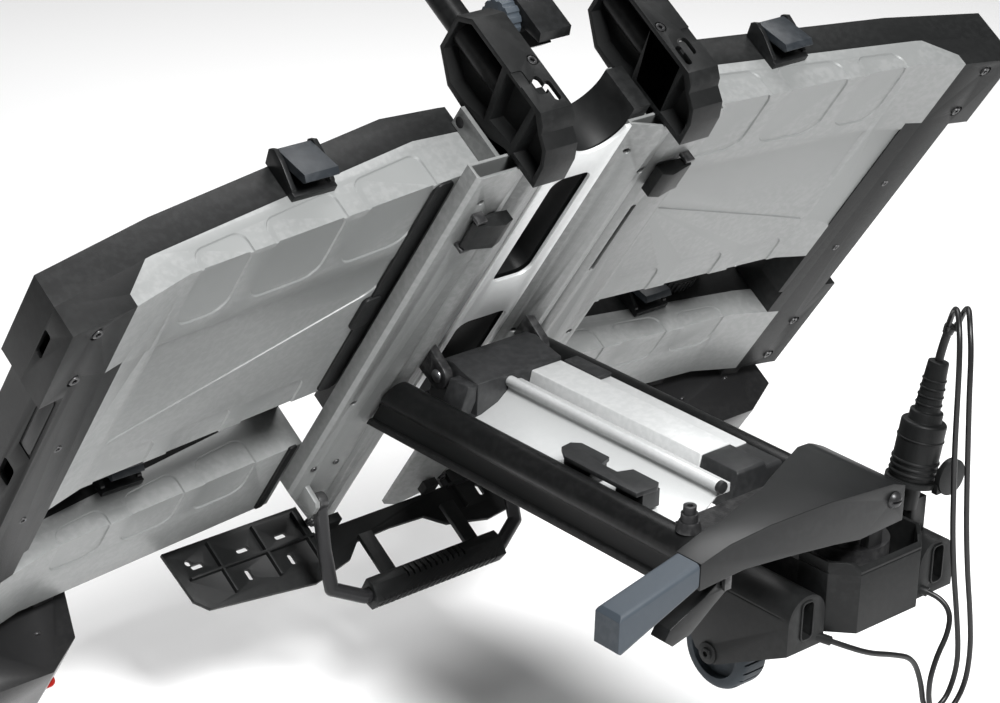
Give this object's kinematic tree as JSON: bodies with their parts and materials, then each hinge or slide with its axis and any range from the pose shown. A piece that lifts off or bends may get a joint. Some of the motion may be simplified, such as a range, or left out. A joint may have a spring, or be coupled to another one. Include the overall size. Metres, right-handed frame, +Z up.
{
  "type": "hitch cargo carrier",
  "caption": "Tow-ball cargo carrier with two folding tray wings on a tilting deck, a folding upright with a clamp arm, a coupling lever and transport wheels.",
  "frame": {"origin": "centre of the tow ball's seat in the coupling", "axes": "+X to the right wing seen from the vehicle, +Y away from the vehicle, +Z up"},
  "size_m": [1.236, 0.968, 1.0194],
  "materials": {
    "silver_pan": "satin, clear anodised",
    "silver_extrusion": "satin, clear anodised",
    "black_moulding": "fine grained",
    "black_gloss": "satin gloss",
    "black_tube": "powder coated",
    "cast_black": "coated casting",
    "steel": "zinc plated",
    "dark_steel": "black oxide",
    "grey_rubber": "soft blue-grey",
    "wheel_tyre": "blue-grey tyre",
    "dark_grey_plastic": "dark grey moulding",
    "cable_jacket": "smooth jacket",
    "lamp_plastic": "black body with dark lens"
  },
  "bodies": {
    "chassis": {"right_tube": "black_tube", "left_tube": "black_tube", "trough_sill": "silver_extrusion", "box_sill": "silver_extrusion", "sill_caps": "dark_grey_plastic", "hinge_block": "dark_grey_plastic", "saddle_block": "dark_grey_plastic", "coupling_bolts": "dark_steel", "coupling_body": "cast_black", "coupling_cover": "black_moulding", "right_wheel_housing": "black_moulding", "left_wheel_housing": "black_moulding", "cable_glands": "black_moulding", "plug_holder": "black_moulding", "cable_plug": "black_moulding", "cable_splitter": "cable_jacket", "cord_trunk": "cable_jacket", "cord_left": "cable_jacket", "cord_right": "cable_jacket", "pivot_shaft": "steel"},
    "coupling_lever": {"lever_cover": "black_gloss", "lever_core": "dark_steel", "lever_grip": "grey_rubber"},
    "trigger": {"release_trigger": "black_gloss"},
    "plunger": {"clamp_plunger": "steel"},
    "wheel_right": {"right_wheel": "wheel_tyre"},
    "wheel_left": {"left_wheel": "wheel_tyre"},
    "deck": {"right_beam": "silver_extrusion", "left_beam": "silver_extrusion", "cross_plate": "silver_extrusion", "centre_frame": "black_moulding", "hinge_ears": "dark_steel", "deck_pins": "dark_steel", "plate_board": "black_moulding"},
    "latch_right": {"right_latch": "black_moulding"},
    "latch_left": {"left_latch": "black_moulding"},
    "pedal": {"pedal_frame": "dark_steel", "pedal_pad": "black_moulding"},
    "upright": {"u_frame": "black_tube", "right_bracket": "black_moulding", "left_bracket": "black_moulding"},
    "arm": {"bike_arm": "black_gloss"},
    "knob": {"arm_knob": "grey_rubber"},
    "wing_right": {"right_tray_shells": "silver_pan", "right_wing_top": "black_moulding", "right_end_moulding": "black_moulding", "right_buckles": "black_gloss", "right_ladder_strap": "black_moulding", "right_lamp": "lamp_plastic"},
    "front_ratchet_right": {"right_front_lever": "grey_rubber"},
    "rear_ratchet_right": {"right_strap_lever": "grey_rubber"},
    "wing_left": {"left_tray_shells": "silver_pan", "left_wing_top": "black_moulding", "left_end_moulding": "black_moulding", "left_buckles": "black_gloss", "left_ladder_strap": "black_moulding", "left_lamp": "lamp_plastic"},
    "front_ratchet_left": {"left_front_lever": "grey_rubber"},
    "rear_ratchet_left": {"left_strap_lever": "grey_rubber"}
  },
  "joints": [
    {"name": "deck_tilt", "type": "hinge", "parent": "chassis", "child": "deck", "pos_m": [0, 0.515, 0.04], "axis": [1, 0, 0], "range_deg": [0, 56.75]},
    {"name": "upright_fold", "type": "hinge", "parent": "deck", "child": "upright", "pos_m": [0, 0.42921, 0.35324], "axis": [1, 0, 0], "range_deg": [-90, 0]},
    {"name": "arm_swing", "type": "hinge", "parent": "upright", "child": "arm", "pos_m": [-0.02, 0.87628, 0.71093], "axis": [1, 0, 0], "range_deg": [-110, 0]},
    {"name": "knob_turn", "type": "hinge", "parent": "arm", "child": "knob", "pos_m": [-0.048, 0.45647, 0.43568], "axis": [1, 0, 0], "continuous": true},
    {"name": "wing_right_fold", "type": "hinge", "parent": "deck", "child": "wing_right", "pos_m": [0.122, 0.57492, 0.18571], "axis": [0, 0.5483, -0.8363], "range_deg": [-90, 0]},
    {"name": "wing_left_fold", "type": "hinge", "parent": "deck", "child": "wing_left", "pos_m": [-0.122, 0.57492, 0.18571], "axis": [0, 0.5483, -0.8363], "range_deg": [0, 90]},
    {"name": "latch_right_turn", "type": "hinge", "parent": "deck", "child": "latch_right", "pos_m": [0.139, 0.38935, 0.25536], "axis": [0, 0.5483, -0.8363], "range_deg": [-60, 0], "stiffness_Nm_per_rad": 0.15, "springref_deg": 28.65},
    {"name": "latch_left_turn", "type": "hinge", "parent": "deck", "child": "latch_left", "pos_m": [-0.139, 0.38935, 0.25536], "axis": [0, 0.5483, -0.8363], "range_deg": [0, 60], "stiffness_Nm_per_rad": 0.15, "springref_deg": -28.65},
    {"name": "pedal_press", "type": "hinge", "parent": "deck", "child": "pedal", "pos_m": [0, 0.63404, -0.13426], "axis": [1, 0, 0], "range_deg": [-12, 0], "stiffness_Nm_per_rad": 6, "springref_deg": 28.65},
    {"name": "lever_lift", "type": "hinge", "parent": "chassis", "child": "coupling_lever", "pos_m": [-0.002, 0, 0.101], "axis": [0, 1, 0], "range_deg": [0, 90]},
    {"name": "trigger_squeeze", "type": "hinge", "parent": "coupling_lever", "child": "trigger", "pos_m": [-0.206, -0.028, 0.078], "axis": [0, 1, 0], "range_deg": [0, 12], "stiffness_Nm_per_rad": 0.4, "springref_deg": -17.19},
    {"name": "plunger_slide", "type": "slide", "parent": "chassis", "child": "plunger", "axis": [0, 0, 1], "range_m": [0, 0.004]},
    {"name": "wheel_right_spin", "type": "hinge", "parent": "chassis", "child": "wheel_right", "pos_m": [0.089, 0.067, -0.071], "axis": [1, 0, 0], "continuous": true},
    {"name": "wheel_left_spin", "type": "hinge", "parent": "chassis", "child": "wheel_left", "pos_m": [-0.089, 0.067, -0.071], "axis": [1, 0, 0], "continuous": true},
    {"name": "front_ratchet_right_open", "type": "hinge", "parent": "wing_right", "child": "front_ratchet_right", "pos_m": [0.315, 0.43872, 0.36426], "axis": [1, 0, 0], "range_deg": [-100, 0]},
    {"name": "rear_ratchet_right_open", "type": "hinge", "parent": "wing_right", "child": "rear_ratchet_right", "pos_m": [0.372, 0.68208, -0.01786], "axis": [1, 0, 0], "range_deg": [-85, 0]},
    {"name": "front_ratchet_left_open", "type": "hinge", "parent": "wing_left", "child": "front_ratchet_left", "pos_m": [-0.315, 0.43872, 0.36426], "axis": [1, 0, 0], "range_deg": [-100, 0]},
    {"name": "rear_ratchet_left_open", "type": "hinge", "parent": "wing_left", "child": "rear_ratchet_left", "pos_m": [-0.372, 0.68208, -0.01786], "axis": [1, 0, 0], "range_deg": [-85, 0]}
  ],
  "couplings": [
    {"joint": "plunger_slide", "follows": "lever_lift", "m_per_rad": 0.0025}
  ]
}
